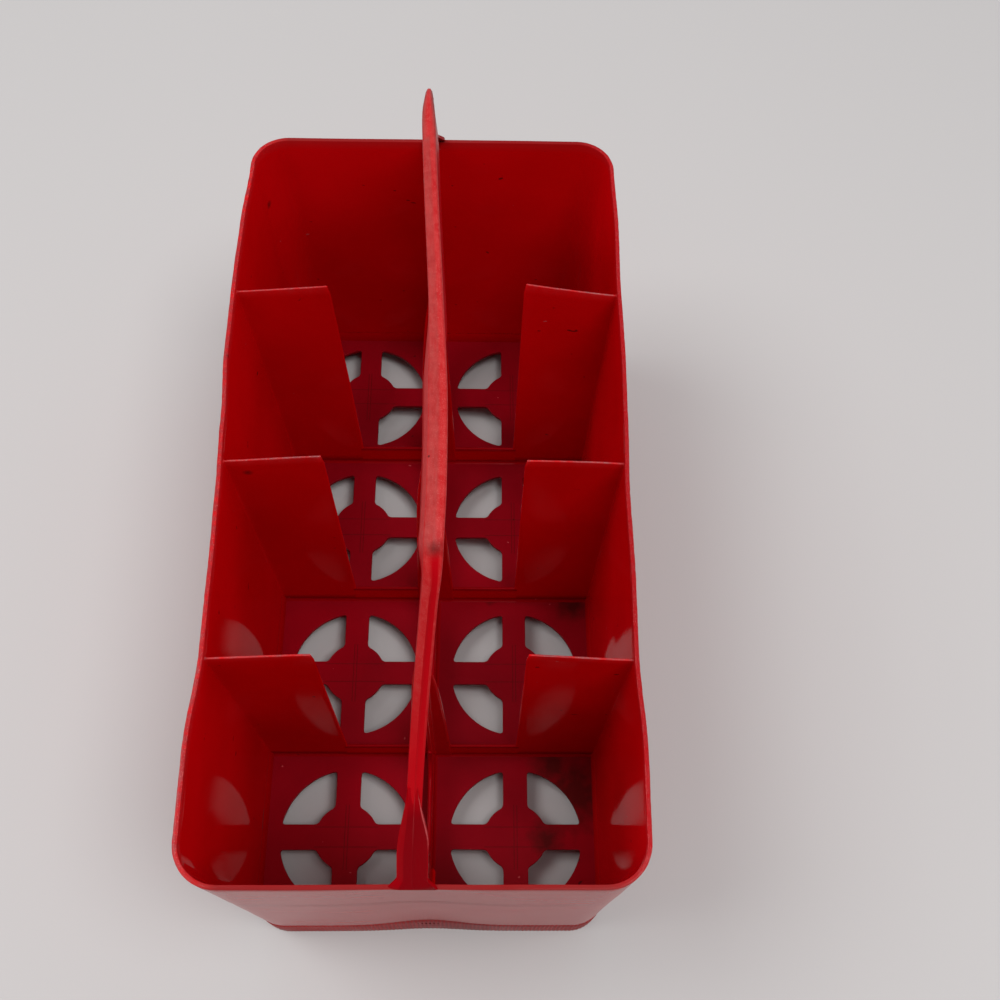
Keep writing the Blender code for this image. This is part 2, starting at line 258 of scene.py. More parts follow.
def loft(name, rings, *settings, looped=False, **options):
    """A closed body through an array of rings of points. A looped one joins its last ring to its first."""
    rings = np.asarray(rings, float)
    count, size = rings.shape[:2]
    faces = []
    for i in range(count if looped else count - 1):
        a, b = i * size, (i + 1) % count * size
        faces += [(a + j, a + (j + 1) % size, b + (j + 1) % size, b + j) for j in range(size)]
    if not looped:
        faces.append(tuple(reversed(range(size))))
        faces.append(tuple(range((count - 1) * size, count * size)))
    if signed_volume(rings.reshape(-1, 3), faces) < 0:
        faces = [face[::-1] for face in faces]
    piece(name, rings.reshape(-1, 3), faces, *settings, **options)


def signed_volume(points, faces):
    """Six times the volume that the faces enclose, negative if they point inwards."""
    total = 0.0
    for face in faces:
        first = points[face[0]]
        for second, third in zip(face[1:], face[2:]):
            total += np.dot(first, np.cross(points[second], points[third]))
    return total


def walk(step, corner_steps):
    """Stations round the box's outline: each one's place, outward normal and distance walked."""
    corner_x, corner_y = HALF_WIDTH - CORNER_RADIUS, HALF_LENGTH - CORNER_RADIUS
    places, normals = [], []
    for turn in range(4):
        middle = (turn + 0.5) * math.pi / 2
        centre = (math.copysign(corner_x, math.cos(middle)), math.copysign(corner_y, math.sin(middle)))
        for i in range(corner_steps + 1):
            angle = (turn + i / corner_steps) * math.pi / 2
            normal = (math.cos(angle), math.sin(angle))
            places.append([centre[k] + CORNER_RADIUS * normal[k] for k in (0, 1)])
            normals.append(normal)
        length = 2 * (corner_x if turn % 2 == 0 else corner_y)
        count = round(length / step)
        along = (-normal[1], normal[0])
        start = places[-1]
        for i in range(1, count):
            places.append([start[k] + along[k] * length * i / count for k in (0, 1)])
            normals.append(normal)
    places, normals = np.array(places), np.array(normals)
    steps = np.linalg.norm(np.diff(places, axis=0, append=places[:1]), axis=1)
    return places, normals, np.concatenate([[0], np.cumsum(steps)[:-1]]), steps.sum()


def swept(places, normals, offsets, heights):
    """Rings with one closed profile at each station, whose offsets run out from the box's outline."""
    rings = np.empty((len(places), np.shape(heights)[-1], 3))
    rings[..., :2] = places[:, None, :] + normals[:, None, :] * np.broadcast_to(
        offsets, rings.shape[:2])[..., None]
    rings[..., 2] = heights
    return rings


def face_offset(z):
    """How far the drafted outer face stands from the outline at the rim."""
    return -DRAFT * (1 - np.asarray(z) / RIM)


def shell_profile():
    """Heights and offsets up the walls' outer face, over the rim, down to the floor's fillet and back.

    The third result says which of them lie on the outer face.
    """
    bends = np.linspace(0, math.pi / 2, 4)
    ledge = np.array([LEDGE_HEIGHT - LEDGE_DEPTH, LEDGE_HEIGHT + LEDGE_DEPTH])
    outer_z = np.concatenate([
        [BAND_TOP, BAND_TOP + RIM_ROUND], np.linspace(BAND_TOP, LEDGE_HEIGHT, 14)[1:-1], ledge,
        np.linspace(LEDGE_HEIGHT, RIM - RIM_ROUND, 10)[1:]])
    outer_d = face_offset(outer_z) - LEDGE_DEPTH * (outer_z < LEDGE_HEIGHT)
    outer_d[0] -= RIM_ROUND
    round_z = RIM - RIM_ROUND + RIM_ROUND * np.sin(bends[1:])
    round_d = -RIM_ROUND * (1 - np.cos(bends[1:]))
    fillet = np.linspace(0, math.pi / 2, 5)[1:]
    inner_z = np.linspace(RIM - RIM_ROUND, FLOOR_TOP + FOOT_FILLET, 30)
    fillet_z = FLOOR_TOP + FOOT_FILLET * (1 - np.sin(fillet)) - EMBED * (fillet == fillet[-1])
    fillet_d = face_offset(fillet_z) - WALL - FOOT_FILLET * (1 - np.cos(fillet))
    hidden_z = np.array([FLOOR_BOTTOM + EMBED, BAND_TOP - EMBED, BAND_TOP])
    hidden_d = np.array([-WALL - FOOT_FILLET, -WALL + EMBED, -WALL + EMBED]) + face_offset(hidden_z)
    heights = np.concatenate([outer_z, round_z, [RIM], round_z[::-1][1:], inner_z, fillet_z, hidden_z])
    offsets = np.concatenate([
        outer_d, round_d, [-WALL / 2], -WALL - round_d[::-1][1:], face_offset(inner_z) - WALL,
        fillet_d, hidden_d])
    return heights, offsets, np.arange(len(heights)) < len(outer_z) + 2


def make_shell(material):
    """The box's walls in one, with a little drift in their faces, ragged rims and chewed outer edges."""
    places, normals, _, _ = walk(STATION, 12)
    heights, offsets, outward = shell_profile()
    plain = swept(places, normals, offsets, heights)
    rings = plain.copy()
    free = np.clip((heights - BAND_TOP) / 0.02, 0, 1) * np.clip((heights - FLOOR_TOP) / 0.02, 0, 1)
    drift = np.abs(ripple(plain * (1, 1, 0.6), *WALL_DRIFT, 1))
    rings[..., :2] -= normals[:, None, :] * (drift * free)[..., None]
    side_on = np.abs(normals[:, 0])[:, None]
    at_rim = np.clip(1 - (RIM - heights) / (2 * RIM_ROUND), 0, 1)
    ragged = ripple(plain * (1, 1, 0), *EDGE_RAGS, 2) + ripple(plain * (1, 1, 0), *RIM_WAVES, 3)
    rings[..., 2] += (ragged - EDGE_DROP) * at_rim * (0.15 + 0.85 * side_on)
    chewed = np.abs(ripple(plain * (1, 1, 0), *RIM_BITES, 5)) * at_rim * outward * side_on
    rings[..., :2] -= normals[:, None, :] * chewed[..., None]
    # The worn mark rubs the rims, and along the walls' lower outer edge it also stands for the highlight
    # there.
    lower_edge = (heights < BAND_TOP + 2 * RIM_ROUND) * outward
    wear = at_rim * side_on * (0.9 - 0.2 * np.sign(normals[:, :1])) + 0.5 * lower_edge
    # Painted shade and reflection: the outer faces, most of all the front-facing ones, are darkened and
    # greyed, the greying standing for scuffs as well.
    front_on = np.clip(-normals[:, 1], 0, 1)[:, None]
    outside = outward * (1 - at_rim) * (0.35 + 0.65 * front_on)
    # Painted shade on the front rim, which is greyed too, and in the fillet at the floor; the right rim is
    # darker.
    front_rim = at_rim * (1 - side_on)
    in_fillet = (heights < FLOOR_TOP + 1.3 * FOOT_FILLET) * ~outward
    right_rim = at_rim * np.clip(normals[:, :1], 0, 1)
    deep = 1.1 * front_rim + 0.7 * right_rim + 0.5 * outside + 0.8 * in_fillet
    walls = ["front_wall", "back_wall"]
    walls += [f"{word}_wall_{n}" for word in ("left", "right") for n in (1, 2, 3, 4)]
    corners = [corner + "_wall" for corner in CORNERS]
    loft("box_shell", rings, material, "wall_plastic", walls + corners, looped=True,
         wear=wear, hazy=outside + 0.5 * front_rim, deep=deep)


def make_band(material):
    """The foot band, whose fine upright ribs stand out under a groove below the walls' lower edge."""
    places, normals, travelled, length = walk(BAND_RIB_PITCH / 4, 54)
    ribs = round(length / BAND_RIB_PITCH)
    wave = 0.5 - 0.5 * np.cos(2 * math.pi * ribs * travelled / length)
    edge = 0.0004
    hidden = BAND_TOP + 0.7 * EMBED
    outer_z = np.array([
        0, edge, BAND_TOP / 3, 2 * BAND_TOP / 3, BAND_TOP - 4 * edge, BAND_TOP - 2 * edge, hidden])
    crest = np.array([-edge, -0.0001, -0.0002, -0.0003, -0.0005, -BAND_GROOVE, -BAND_GROOVE])
    share = np.array([0, 0.5, 1, 1, 1, 0.2, 0])
    crest[-2:] += face_offset(BAND_TOP)
    inner_z = np.array([hidden, BAND_TOP - edge, FLOOR_TOP - edge, FLOOR_BOTTOM, edge, 0])
    inner_d = face_offset(inner_z) - WALL + EMBED * np.array([1, 0, 0, 0, 0, 0.5])
    outer_d = crest - BAND_RIB_DEPTH * wave[:, None] * share
    offsets = np.concatenate([outer_d, np.broadcast_to(inner_d, (len(places), len(inner_d)))], axis=1)
    rings = swept(places, normals, offsets, np.concatenate([outer_z, inner_z]))
    bands = [f"{word}_foot_band" for word in ("front", "back", "left", "right")]
    corners = [corner + "_foot_band" for corner in CORNERS]
    # Painted shade: the valleys between the ribs are darkened, and the whole band a little, and the groove
    # under the walls takes the dark dirt colour as its shadow line.
    in_groove = np.concatenate([outer_z > BAND_TOP - 3 * edge, np.zeros(len(inner_z))])
    loft("ribbed_foot_band", rings, material, "band_plastic", bands + corners, looped=True,
         deep=np.broadcast_to(0.3 + 0.5 * wave[:, None], rings.shape[:2]),
         grime=np.broadcast_to(in_groove, rings.shape[:2]))


def rounded_outline(corners, radii, steps):
    """Points round a polygon of corners, each one rounded to its radius by as many points."""
    points = []
    count = len(corners)
    for i, corner in enumerate(corners):
        here = np.array(corner, float)
        before = np.array(corners[i - 1], float) - here
        after = np.array(corners[(i + 1) % count], float) - here
        room = 0.45 * min(np.linalg.norm(before), np.linalg.norm(after))
        before, after = before / np.linalg.norm(before), after / np.linalg.norm(after)
        half = math.acos(max(-1, min(1, float(before @ after)))) / 2
        reach = min(radii[i] / max(math.tan(half), 1e-6), room)
        start, end = here + before * reach, here + after * reach
        for k in range(steps + 1):
            t = k / steps
            points.append((1 - t) ** 2 * start + 2 * t * (1 - t) * here + t**2 * end)
    return np.array(points)


def quarter_opening(side_x, side_y):
    """Outline of one opening, a quarter of a ring between the bars, with small rounded corners."""
    bar = BAR_WIDTH / 2
    rim_start, hub_start = math.asin(bar / OPENING_RADIUS), math.asin(bar / HUB_RADIUS)
    rim = [(OPENING_RADIUS, a) for a in np.linspace(rim_start, math.pi / 2 - rim_start, 22)]
    hub = [(HUB_RADIUS, a) for a in np.linspace(math.pi / 2 - hub_start, hub_start, 12)]
    corners = [(side_x * r * math.cos(a), side_y * r * math.sin(a)) for r, a in rim + hub]
    sharp = {0, len(rim) - 1, len(rim), len(rim) + len(hub) - 1}
    radii = [OPENING_CORNER if i in sharp else 0 for i in range(len(corners))]
    return rounded_opening(corners, radii)


def rounded_opening(corners, radii):
    """The opening's outline, its four sharp corners cut back along both of its edges."""
    points = []
    count = len(corners)
    for i in range(count):
        here = Vector(corners[i])
        if not radii[i]:
            if not any(radii[j % count] and (here - Vector(corners[j % count])).length < radii[j % count]
                       for j in range(i - 3, i + 4)):
                points.append(here)
            continue
        before = point_back(corners, i, -1, radii[i])
        after = point_back(corners, i, 1, radii[i])
        for k in range(5):
            t = k / 4
            points.append((1 - t) ** 2 * before + 2 * t * (1 - t) * here + t**2 * after)
    return points


def point_back(corners, start, way, distance):
    """The place that lies a distance along a closed outline from one of its corners."""
    here = Vector(corners[start])
    left = distance
    i = start
    while True:
        i += way
        following = Vector(corners[i % len(corners)])
        span = (following - here).length
        if span >= left:
            return here.lerp(following, left / span)
        left -= span
        here = following


def add_spline(curve, points):
    """Adds a closed outline to a flat curve."""
    spline = curve.splines.new("POLY")
    spline.points.add(len(points) - 1)
    for target, point in zip(spline.points, points):
        target.co = (point[0], point[1], 0, 1)
    spline.use_cyclic_u = True


def make_floor(material):
    """The one flat floor, with four quarter openings round the hub of each cell."""
    curve = bpy.data.curves.new("floor_outline", "CURVE")
    curve.dimensions = "2D"
    curve.fill_mode = "BOTH"
    thickness = FLOOR_TOP - FLOOR_BOTTOM
    curve.extrude = thickness / 2 - FLOOR_BEVEL
    curve.bevel_depth = FLOOR_BEVEL
    curve.bevel_resolution = 2
    curve.offset = -FLOOR_BEVEL
    inset = WALL - EMBED + DRAFT
    places, normals, _, _ = walk(CELL_PITCH, 10)
    add_spline(curve, places - normals * inset)
    columns = (-CELL_PITCH / 2, CELL_PITCH / 2)
    rows = [(row - 1.5) * CELL_PITCH for row in range(4)]
    for x, y, side_x, side_y in product(columns, rows, (-1, 1), (-1, 1)):
        add_spline(curve, [(p[0] + x, p[1] + y) for p in quarter_opening(side_x, side_y)])
    helper = add_object("floor_helper", curve)
    bpy.context.view_layer.update()
    mesh = bpy.data.meshes.new_from_object(helper.evaluated_get(bpy.context.evaluated_depsgraph_get()))
    bpy.data.objects.remove(helper)
    points = np.array([v.co for v in mesh.vertices]) + (0, 0, (FLOOR_TOP + FLOOR_BOTTOM) / 2)
    faces = [tuple(p.vertices) for p in mesh.polygons]
    nodes = [f"{side}_cell_floor_{n}" for side in ("left", "right") for n in (1, 2, 3, 4)]
    piece("pierced_floor", points, faces, material, "floor_plastic", nodes, sharp=60)


def flare(z):
    """Extra half thickness of a rib at a height, where its foot is filleted into the floor."""
    up = np.clip((z - FLOOR_TOP) / ROOT_FILLET, 0, 1)
    return ROOT_FILLET * (1 - np.sqrt(1 - (1 - up) ** 2))


def plate_ring(root, tip, half):
    """Plan of an upright plate from a wall at root to a rounded edge at tip, as (along, across) points."""
    way = math.copysign(1, tip - root)
    bends = np.linspace(0, math.pi / 2, 5)
    side = [(root + way * ROOT_FILLET * (1 - math.cos(a)), half + ROOT_FILLET * (1 - math.sin(a)))
            for a in bends]
    end = tip - way * half
    side += [(u, half) for u in np.linspace(root + way * ROOT_FILLET, end, 22)[1:-1]]
    round_end = [(end + way * half * math.sin(a), half * math.cos(a)) for a in np.linspace(0, math.pi, 9)]
    return np.array(side + round_end + [(u, -v) for u, v in reversed(side)])


def plate_levels(bottom, top, half, count=30):
    """Heights of a plate's rings, closer together at its foot and over its rounded top edge."""
    foot = bottom + ROOT_FILLET * np.linspace(0, 1, 5)
    body = np.linspace(bottom + ROOT_FILLET, top - half, count)[1:]
    crown = top - half + half * np.sin(np.linspace(0, math.pi / 2, 5)[1:])
    return np.concatenate([foot, body, crown])


def crown_half(z, top, half):
    """Half thickness at a height, which falls away over the rounded top edge."""
    over = np.clip((z - (top - half)) / half, 0, 1)
    return half * np.sqrt(np.maximum(1 - over**2, 0.03))


def make_divider(side, number, material):
    """A thin plate from a side wall, its top dipping towards that wall and its free corner bent."""
    plane = DIVIDER_PLANES[number - 1]
    slim = DIVIDER_EDGE_THICKNESS / 2
    rings = []
    levels = plate_levels(FLOOR_TOP, RIM, slim)
    risen = (levels - FLOOR_TOP) / (RIM - FLOOR_TOP)
    for z, share in zip(levels, risen):
        half = DIVIDER_THICKNESS / 2 + (slim - DIVIDER_THICKNESS / 2) * share
        below = max(0.0, z - (RIM - DIVIDER_CORNER))
        edge = DIVIDER_EDGE + DIVIDER_CORNER - math.sqrt(max(DIVIDER_CORNER**2 - below**2, 0))
        root = HALF_WIDTH + face_offset(z) - WALL + EMBED
        ring = plate_ring(root, edge, crown_half(z, RIM, half) + flare(z))
        rings.append([(side * u, plane + v, z) for u, v in ring])
    rings = np.array(rings)
    seed = 10 * number + side
    from_wall = np.clip((HALF_WIDTH - np.abs(rings[..., 0])) / (HALF_WIDTH - DIVIDER_EDGE), 0, 1)
    up = risen[:, None]
    bend = DIVIDER_BENDS[side][number - 1]
    rings[..., 1] += bend * (up * from_wall) ** 1.5 - DIVIDER_PULL * up**3 * (1 - from_wall)
    rings[..., 1] += ripple(rings * (1, 0, 1), *DIVIDER_DRIFT, seed) * up * np.minimum(4 * from_wall, 1)
    near_top = np.clip(1 - (RIM - levels) / (1.2 * slim), 0, 1)[:, None]
    rings[..., 2] += near_top * (ripple(rings * (1, 0, 0), *EDGE_RAGS, seed) - EDGE_DROP)
    rings[..., 2] -= DIVIDER_DIP * (1 - from_wall) * np.clip(5 * up - 4, 0, 1)
    wear = near_top * (0.8 + ripple(rings * (1, 0, 0), 0.9, 300, seed + 1))
    word = "left" if side < 0 else "right"
    name = f"{word}_divider_{number}"
    # Painted shade in the fillet where the plate meets the floor.
    deep = (levels <= FLOOR_TOP + ROOT_FILLET)[:, None] + np.zeros(rings.shape[:2])
    loft(name + "_plate", rings, material, "inner_plastic", [name], wear=np.clip(wear, 0, 1.6), deep=deep)


def low_rib(name, start, end, top_at, half, lengthwise, shift, material, node):
    """A rib along or across the box: closed sections, flared at the floor and rounded at the top."""
    rings, deep = [], []
    for u in np.linspace(start, end, 36):
        top = top_at(u)
        bends = np.linspace(0, math.pi, 7)
        rise = [FLOOR_TOP - EMBED] + [FLOOR_TOP + ROOT_FILLET * s for s in (0, 0.12, 0.35, 0.65, 1)]
        rise += list(np.linspace(FLOOR_TOP + ROOT_FILLET, top - half, 6)[1:])
        side = [(half + float(flare(z)), z) for z in rise]
        crown = [(half * math.cos(a), top - half + half * math.sin(a)) for a in bends[1:-1]]
        section = side + crown + [(-v, z) for v, z in reversed(side)]
        rings.append([(v + shift, u, z) if lengthwise else (u, v + shift, z) for v, z in section])
        # Painted shade on the rounded crown and in the fillet at the floor.
        deep.append([z > top - 1.1 * half or z <= FLOOR_TOP + ROOT_FILLET for v, z in section])
    loft(name, rings, material, "inner_plastic", [node], deep=deep)


def make_cross_rib(side, number, material):
    """The low rib on the floor from a divider to the post on the middle line."""
    word = "left" if side < 0 else "right"
    node = f"{word}_cross_rib_{number}"
    start, end = side * POST_TOP, side * (DIVIDER_EDGE + DIVIDER_THICKNESS)
    low_rib(node + "_bar", start, end, lambda u: CROSS_RIB_TOP, CROSS_RIB_THICKNESS / 2, False,
            DIVIDER_PLANES[number - 1], material, node)


def make_centre_rib(number, material):
    """The lengthwise rib on the middle line between two uprights, curving up where it meets a post."""
    uprights = [-GUSSET_EDGE] + DIVIDER_PLANES + [GUSSET_EDGE]
    start, end = uprights[number - 1], uprights[number]
    first = start + (0 if number == 1 else POST_FOOT)
    last = end - (0 if number == 4 else POST_FOOT)

    def top_at(u):
        near = min(abs(u - first) if u > first else 0, abs(last - u) if u < last else 0)
        short = max(0.0, 1 - near / CENTRE_RIB_RISE)
        return CENTRE_RIB_TOP + CENTRE_RIB_RISE * (1 - math.sqrt(max(0.0, 1 - short**2)))

    low_rib(f"centre_rib_{number}_bar", start - EMBED, end + EMBED, top_at, WEB_THICKNESS / 2, True, 0,
            material, f"centre_rib_{number}")


def make_post(number, material):
    """Four tapering fins in a cross under a gabled top, rounded and filleted where they meet."""
    plane = DIVIDER_PLANES[number - 1]
    rings, deep = [], []
    top = RIM - POST_TIP_DROP
    for z in plate_levels(FLOOR_TOP - EMBED, top, POST_FIN / 2, 40):
        share = (z - FLOOR_TOP) / (RIM - FLOOR_TOP)
        taper = POST_FOOT + (POST_TOP - POST_FOOT) * share
        gable = POST_APEX + POST_GABLE_SLOPE * (top - z)
        reach = -POST_FIN * math.log(math.exp(-taper / POST_FIN) + math.exp(-gable / POST_FIN))
        shift = POST_LEAN[number - 1] * share
        half = float(crown_half(z, top, POST_FIN / 2)) + float(flare(z))
        reach = max(reach, 1.1 * half)
        quarter = [(reach, -half), (reach, half), (half, half)]
        corners, radii = [], []
        for turn in range(4):
            c, s = round(math.cos(turn * math.pi / 2)), round(math.sin(turn * math.pi / 2))
            corners += [(c * x - s * y, s * x + c * y) for x, y in quarter]
            radii += [half * 0.9, half * 0.9, ROOT_FILLET]
        ring = rounded_outline(corners, radii, 4)
        rings.append([(x + shift, plane + y, z) for x, y in ring])
        # Painted shade on the gabled top and in the fillet at the floor, and a little over the rest.
        low = z < FLOOR_TOP + ROOT_FILLET
        deep.append(np.full(len(ring), 1.0 if low or z > top - POST_FIN else 0.3))
    loft(f"centre_post_{number}_cross", rings, material, "inner_plastic", [f"centre_post_{number}"],
         deep=deep)


def make_gusset(side, material):
    """The upright strip inside an end wall, under a leg of the handle."""
    word = "front" if side < 0 else "back"
    half = WEB_THICKNESS / 2
    rings = []
    for z in plate_levels(FLOOR_TOP, RIM - EMBED, half / 4):
        root = HALF_LENGTH + face_offset(z) - WALL + EMBED
        ring = plate_ring(root, GUSSET_EDGE, half + float(flare(z)))
        rings.append([(v, side * u, z) for u, v in ring])
    loft(word + "_gusset_web", rings, material, "inner_plastic", [word + "_gusset"])


def lean(y, z):
    """Sideways shift of a leg, which years of carrying have given it."""
    share = np.clip((y + GRIP_REACH) / (2 * GRIP_REACH), 0, 1)
    rise = np.clip((z - RIM) / (HANDLE_TOP - RIM), 0, None)
    return (FRONT_LEAN + (BACK_LEAN - FRONT_LEAN) * share) * rise**LEAN_POWER


def smooth_step(value, low, high):
    """Zero up to a low value and one from a high one, eased between them."""
    t = min(1.0, max(0.0, (value - low) / (high - low)))
    return t * t * (3 - 2 * t)


def along_grip(y, shares):
    """Eased from zero to one between two places that are given as shares of the grip's reach."""
    return smooth_step(y, shares[0] * GRIP_REACH, shares[1] * GRIP_REACH)


def grip_width(y):
    """The grip's width at a place along it."""
    return GRIP_FRONT_WIDTH + (GRIP_BACK_WIDTH - GRIP_FRONT_WIDTH) * along_grip(y, GRIP_NARROWS)


def grip_upright(y):
    """Share that the grip stands upright: its front part leans out to the left."""
    return along_grip(y, GRIP_STANDS_UP)


def grip_lean(y, depth):
    """Sideways shift of the grip at a place along it and a depth below its top."""
    top = GRIP_LEAN - GRIP_SWEEP * along_grip(y, GRIP_SWEEPS) - GRIP_END_PULL * along_grip(-y, GRIP_END)
    return top - (GRIP_FRONT_TILT + (GRIP_BACK_TILT - GRIP_FRONT_TILT) * grip_upright(y)) * depth


def leg_edge(z):
    """How far from the middle the leg's outer face stands at a height."""
    return HALF_LENGTH - (z - RIM) / math.tan(LEG_SLOPE)


def handle_path():
    """Stations from the front rim to the back rim, each with an outer and an inner point (y, z)."""
    outer_radius = HANDLE_DEPTH + SHOULDER_INNER
    centre_y = GRIP_REACH - outer_radius * math.tan(LEG_SLOPE / 2)
    centre_z = HANDLE_TOP - outer_radius
    bend_z = centre_z + outer_radius * math.cos(LEG_SLOPE)
    stations = []
    for z in RIM + (bend_z - RIM) * np.linspace(0, 1, 70)[:-1]:
        outer = leg_edge(z)
        level = Vector((outer - HANDLE_DEPTH / math.sin(LEG_SLOPE), z))
        across = Vector((
            outer - HANDLE_DEPTH * math.sin(LEG_SLOPE), z - HANDLE_DEPTH * math.cos(LEG_SLOPE)))
        turned = max(0.0, (z - (bend_z - HANDLE_DEPTH)) / HANDLE_DEPTH)
        stations.append(((outer, z), tuple(level.lerp(across, turned))))
    for angle in np.linspace(math.pi / 2 - LEG_SLOPE, math.pi / 2, 18):
        stations.append(tuple(
            (centre_y + radius * math.cos(angle), centre_z + radius * math.sin(angle))
            for radius in (outer_radius, SHOULDER_INNER)))
    stations += [((y, HANDLE_TOP), (y, GRIP_BOTTOM)) for y in np.linspace(centre_y, 0, 34)[1:]]
    mirrored = [((-outer[0], outer[1]), (-inner[0], inner[1])) for outer, inner in stations]
    return mirrored[:-1] + stations[::-1]


def leg_section(width, depth, thin):
    """Corners and radii of a leg's T section, as (across, into the depth). A thin one is scaled down."""
    w, web = width / 2, min(WEB_WIDTH, width) / 2
    corners = [
        (-w, 0.0009 * thin), (-0.12 * w, 0), (0.10 * w, 0.0004 * thin), (0.62 * w, 0.0005 * thin),
        (0.78 * w, 0.0002 * thin), (w, 0.0005 * thin), (w, FLANGE_DEPTH), (web, FLANGE_DEPTH + 0.0003),
        (web, depth), (-web, depth), (-web, FLANGE_DEPTH + 0.0003), (-w, FLANGE_DEPTH),
        (-w, 0.6 * FLANGE_DEPTH)]
    radii = (0.0005, 0.0004, 0.0003, 0.0003, 0.0002, 0.0003, 0.0005, 0.0008, 0.0005, 0.0005, 0.0008, 0.0005,
             0.0005)
    return corners, radii


def grip_section(width, depth, thin, skirt):
    """Corners and radii of the grip: two narrow facets on top, and sides that spread to a rounded foot.

    Where it is thin, the top is round instead of roofed. The skirt is a ledge along its left side.
    """
    w = width / 2
    foot = w + 0.0005 * thin
    roof = np.array([(-w, 0.0004), (-0.86 * w, 0.0001), (-0.05 * w, 0), (0.35 * w, 0.0002),
                     (0.75 * w, 0.0005), (w, 0.0010)])
    dome = np.array([(-w, 0.0030), (-0.72 * w, 0.0009), (-0.3 * w, 0.0001), (0.3 * w, 0.0001),
                     (0.72 * w, 0.0009), (w, 0.0030)])
    share = min(1.0, (1 - thin) / (0.7 * TIP_THINNING))
    top = roof + (dome - roof) * share
    corners = [tuple(corner) for corner in top] + [
        (w, 0.45 * depth), (foot, 0.68 * depth), (0.7 * foot, depth), (-0.7 * foot, depth),
        (-foot - 0.4 * skirt, 0.68 * depth), (-w - skirt, 0.45 * depth), (-w - skirt, GRIP_SKIRT_TOP)]
    radii = (0.0003, 0.0002, 0.0003, 0.0003, 0.0003, 0.0007, 0.0010, 0.0010, 0.0018, 0.0018, 0.0010, 0.0010,
             0.0004)
    return corners, radii


def thinned(y, z):
    """Share of its full width that the handle keeps: it narrows to a rounded tip at the back shoulder."""
    if y < 0:
        return 1
    along = smooth_step(y, GRIP_REACH - 0.016, GRIP_REACH + 0.008)
    risen = smooth_step(z, RIM + 0.020, HANDLE_TOP - 0.004)
    return 1 - TIP_THINNING * along * risen


def handle_marks(place, section, half, depth, reach, skirt):
    """Worn, greyed and darkened marks round one of the handle's sections, at a place (y, z) along it.

    The grip's top is worn, and its left half and its tip are greyed and darkened over that: scuffing, with
    a painted reflection of the pale room and painted shade. The ledge is worn, and its upper edge carries a
    painted highlight. On the legs only the outer face's left half and its right edge are marked: the left
    half is worn under a painted reflection, and the right edge carries a painted highlight.
    """
    across, into = section[:, 0] / half, section[:, 1]
    high = smooth_step(place[1], RIM + 0.035, GRIP_BOTTOM)
    rubbed = 1 - smooth_step(abs(place[0]), reach - 0.008, reach - 0.004)
    tip = smooth_step(place[0], 0.045, 0.070)
    on_edges = np.where((across < -0.1) | (across > 0.7), 1, 0)
    on_top = (into < FLANGE_DEPTH - 0.0004) * (across > -1.04)
    on_skirt = (across <= -1.04) * (into < 0.72 * depth) * rubbed * min(1, skirt / GRIP_SKIRT)
    # Painted highlight along the ledge's upper edge.
    on_ridge = (np.abs(into - GRIP_SKIRT_TOP) < 0.0006) * on_skirt
    # Painted reflection and painted shade, over scuffing, on the greyed part of the grip's top.
    left_half = (across > -0.97) * (across < 0.15 - 0.6 * tip)
    greyed = np.maximum(left_half, tip * (across > 0.45)) * on_top * rubbed
    on_grip = rubbed * (1 - (0.5 + 0.35 * tip) * greyed)
    # Worn places on the legs, under a painted reflection on the left half and a painted highlight on the
    # right edge.
    on_leg = 0.8 * (1 - rubbed) * high * on_edges
    wear = np.maximum(on_grip, on_leg) * on_top + 0.35 * on_skirt + 0.8 * on_ridge
    return wear, (0.5 + 0.4 * tip) * greyed, (0.65 + 0.3 * tip) * greyed


def make_handle(material):
    """Legs and grip in one sweep, its section changing from a T to a roofed bar along it."""
    rings, marks = [], []
    for outer, inner in handle_path():
        outer, inner = np.array(outer), np.array(inner)
        depth = np.linalg.norm(outer - inner)
        direction = (inner - outer) / depth
        reach = GRIP_REACH + (FRONT_SHOULDER if outer[0] < 0 else BACK_SHOULDER)
        gripped = 1 - smooth_step(abs(outer[0]), reach - 0.008, reach + 0.004)
        slim = thinned(outer[0], outer[1])
        leg_ring = rounded_outline(*leg_section(LEG_WIDTH * slim, depth, slim), 3)
        skirt = GRIP_SKIRT * (1 - grip_upright(outer[0]))
        grip_ring = rounded_outline(*grip_section(grip_width(outer[0]) * slim, depth, slim, skirt), 3)
        section = leg_ring + (grip_ring - leg_ring) * gripped
        if outer[0] > 0:
            high = smooth_step(outer[1], RIM + 0.030, HANDLE_TOP - 0.010)
            outer = outer + (BACK_STRETCH * high * smooth_step(outer[0], 0.040, GRIP_REACH), 0)
        place = outer + section[:, 1:] * direction
        standing = lean(place[:, 0], place[:, 1])
        held = grip_lean(outer[0], section[:, 1])
        rings.append(np.column_stack([section[:, 0] + standing + (held - standing) * gripped, place]))
        half = (LEG_WIDTH + (grip_width(outer[0]) - LEG_WIDTH) * gripped) * slim / 2
        marks.append(handle_marks(outer, section, half, depth, reach, skirt))
    nodes = ["front_handle_foot", "front_handle_leg", "handle_grip", "back_handle_leg", "back_handle_foot"]
    wear, hazy, deep = zip(*marks)
    loft("arched_handle", rings, material, "handle_plastic", nodes, wear=wear, hazy=hazy, deep=deep)


